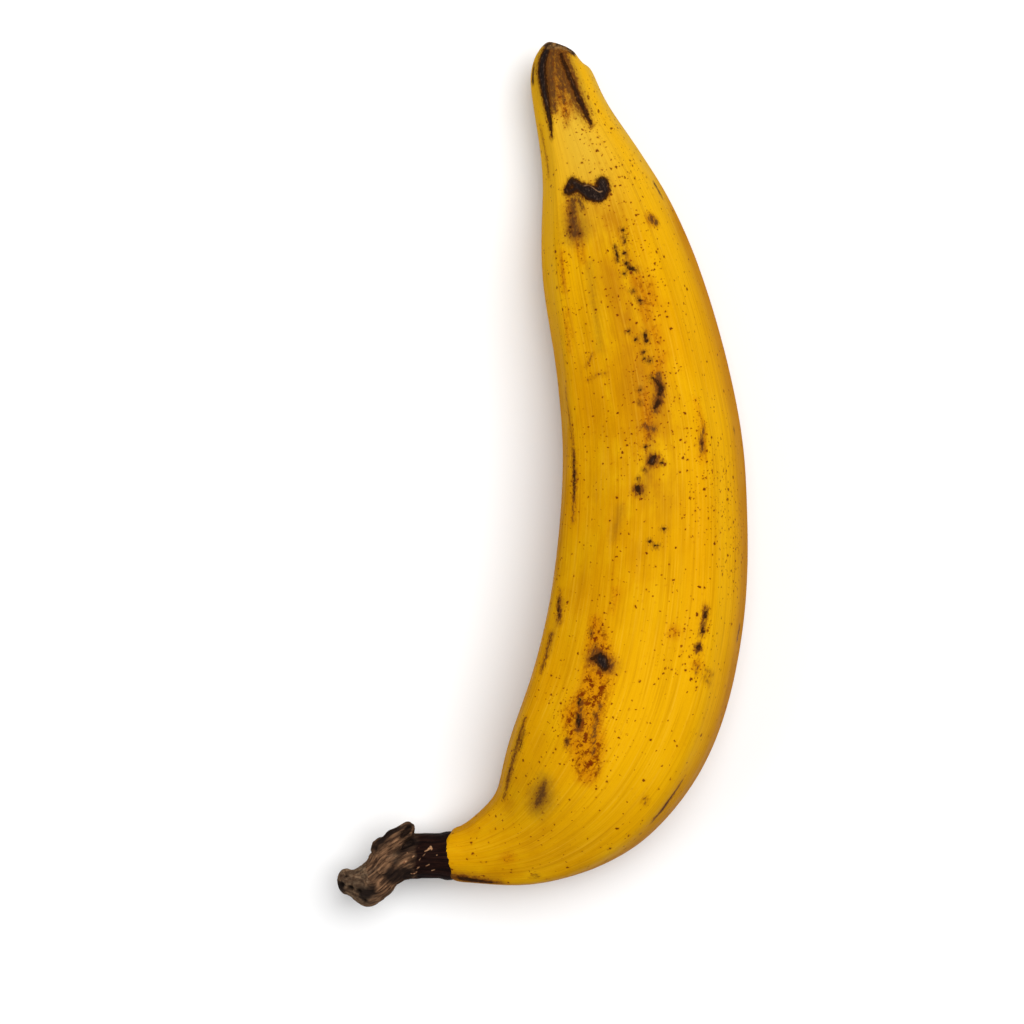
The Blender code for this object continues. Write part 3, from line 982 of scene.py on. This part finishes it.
# The bark's finish: near black on the round stalk, tan on the torn crown with painted shade in the low
# grooves between its fibres, and over both the scorched patches with the painted shadow and shade at the
# scale, the pits with painted shade in them, and the flakes.
BARK_GLOSS = 0.015
bark, tree, shader = new_material("dried_bark")
place = kept(tree, "grown")
threads = clouds(tree, scaled(tree, place, 0.14, 1.4), 1.0, 4, 0.65)
fine_threads = clouds(tree, scaled(tree, place, 0.3, 3.5), 1.0, 3, 0.6)
smudges = clouds(tree, place, 0.3, 4, 0.6)
grains = clouds(tree, place, 1.1, 5, 0.65)
near_black = blend(tree, ramp(tree, threads, -0.1, 0.25), seen(20, 10, 9), seen(44, 24, 18))
knob_tan = blend(tree, ramp(tree, grains, -0.15, 0.2), seen(66, 50, 38), seen(138, 116, 92))
tan_layers = (
    (ramp(tree, threads, -0.18, 0.18), seen(146, 108, 78)),
    (calc(tree, "MULTIPLY", kept(tree, "knob"), 0.7), knob_tan),
    (ramp(tree, smudges, 0.0, 0.25, 0.6), seen(110, 92, 74)),
    (ramp(tree, smudges, 0.0, -0.25, 0.6), seen(52, 36, 28)),
    (ramp(tree, fine_threads, 0.02, 0.25, 0.7), seen(34, 23, 18)),
    # painted shade in the low grooves between the fibres
    (ramp(tree, kept(tree, "high"), 0.7, 0.0, 0.5), seen(40, 28, 22)),
)
tan = layered(tree, seen(52, 35, 26), tan_layers)
crown_edge = calc(tree, "MULTIPLY_ADD", smudges, 0.9, kept(tree, "crown"))
scorch_and_shade = calc(tree, "MULTIPLY_ADD", smudges, 4.0, kept(tree, "scorch_and_shade"))
flake_edge = calc(tree, "MULTIPLY_ADD", fine_threads, 0.5, kept(tree, "flakes"))
flake = blend(tree, ramp(tree, grains, -0.1, 0.1), seen(118, 76, 54), seen(186, 142, 104))
bark_layers = (
    (ramp(tree, crown_edge, 0.2, 0.85), tan),
    # scorched patches, and the painted shadow and shade at the scale
    (ramp(tree, scorch_and_shade, -1.6, 0.8, 0.92), seen(24, 18, 17)),
    # painted shade in the pits
    (kept(tree, "pits"), seen(20, 15, 13)),
    (ramp(tree, flake_edge, -0.1, 0.12, 0.9), flake),
)
colour = layered(tree, near_black, bark_layers)
dullness = calc(tree, "MULTIPLY_ADD", kept(tree, "crown"), 0.25, 0.55)
height = calc(tree, "MULTIPLY_ADD", fine_threads, 0.6, threads)
bark_bump = {"Strength": 0.8, "Distance": 0.0004, "Height": height}
finish_surface(tree, shader, colour, dullness, BARK_GLOSS, bark_bump)
stalk.data.materials.append(bark)

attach(stalk, "root")
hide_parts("stalk")


# ---- The surface, the light and the camera ------------------------------------------------
# A plain white table. Soft light falls from above, mostly from the right and the far side, and the camera
# looks straight down with a long lens.
TABLE_SIZE = 6
bpy.ops.object.select_all(action="DESELECT")
bpy.ops.mesh.primitive_plane_add(size=TABLE_SIZE, location=(0, 0, 0))
table = bpy.context.object
table.name = "table_top"
white, tree, shader = new_material("white_table")
shader.inputs["Base Color"].default_value = (0.9, 0.9, 0.9, 1)
shader.inputs["Roughness"].default_value = 0.8
table.data.materials.append(white)

CAMERA_PLACE = (-7.7, -9.9, 792)
bpy.ops.object.camera_add(location=Vector(CAMERA_PLACE) * MM, rotation=(0, 0, 0))
camera = bpy.context.object
camera.data.lens = 100
camera.data.sensor_width = 36
camera.data.clip_end = 10
bpy.context.scene.camera = camera

SURROUND_STRENGTH = 0.22
world = bpy.data.worlds.new("soft_surround")
bpy.context.scene.world = world
world.use_nodes = True
surround = world.node_tree.nodes["Background"]
surround.inputs["Color"].default_value = (1, 1, 1, 1)
surround.inputs["Strength"].default_value = SURROUND_STRENGTH

# Each lamp's name, its place in metres, its width in metres, and its power in watts.
LAMPS = (
    ("overhead_softbox", (0.34, 0.26, 1.3), 1.4, 22.3),
    ("side_softbox", (-0.9, -0.1, 0.9), 0.7, 3.2),
)
LAMP_AIM = Vector((0, 0, 0.02))
for name, lamp_place, width, power in LAMPS:
    facing_away = (Vector(lamp_place) - LAMP_AIM).to_track_quat("Z", "Y").to_euler()
    bpy.ops.object.light_add(type="AREA", location=lamp_place, rotation=facing_away)
    lamp = bpy.context.object
    lamp.name = name
    lamp.data.shape = "DISK"
    lamp.data.size = width
    lamp.data.energy = power

bpy.context.scene.view_settings.view_transform = "Standard"
